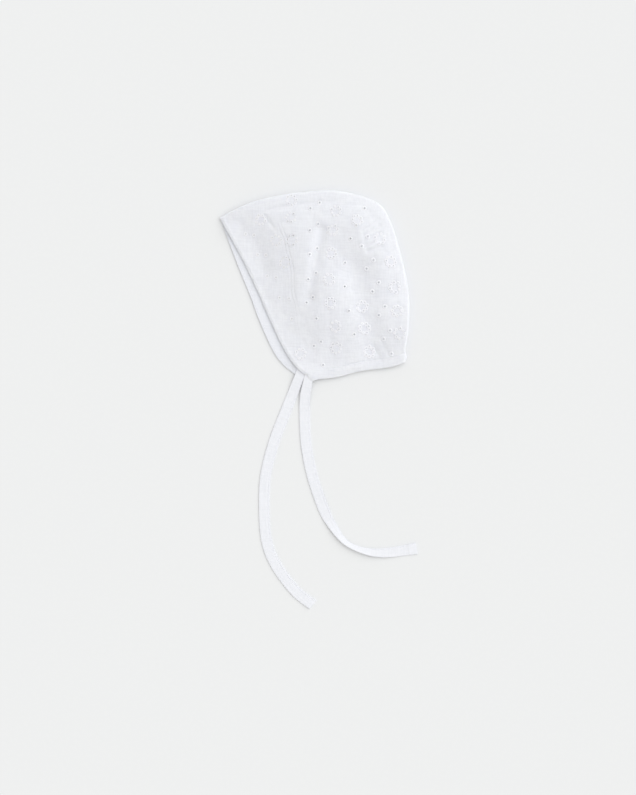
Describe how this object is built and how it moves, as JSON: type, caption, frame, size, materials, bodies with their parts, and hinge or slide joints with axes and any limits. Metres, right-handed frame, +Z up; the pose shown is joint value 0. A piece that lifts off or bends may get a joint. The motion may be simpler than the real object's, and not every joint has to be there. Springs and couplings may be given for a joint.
{
  "type": "baby bonnet",
  "caption": "Soft cotton baby bonnet with pierced eyelet side panels, plain face facings, neck hems and two long flat ties, lying folded on its side.",
  "frame": {"origin": "a point on the flat underside of the lower side panel, on which the folded bonnet rests", "axes": "+X from the forehead to the back of the head, +Y from the neck to the top of the head, +Z up from the surface"},
  "size_m": [0.1787, 0.3778, 0.0184],
  "materials": {
    "eyelet_cotton": "white broderie eyelet cotton, matt",
    "plain_cotton": "plain white cotton lawn, matt",
    "cotton_tape": "doubled white cotton tie, matt"
  },
  "bodies": {
    "root": {"side_panel_near": "eyelet_cotton", "side_panel_far": "eyelet_cotton", "front_facing_near": "plain_cotton", "front_facing_far": "plain_cotton", "neck_hem_near": "plain_cotton", "neck_hem_far": "plain_cotton", "tie_near": "cotton_tape", "tie_far": "cotton_tape"}
  },
  "joints": []
}
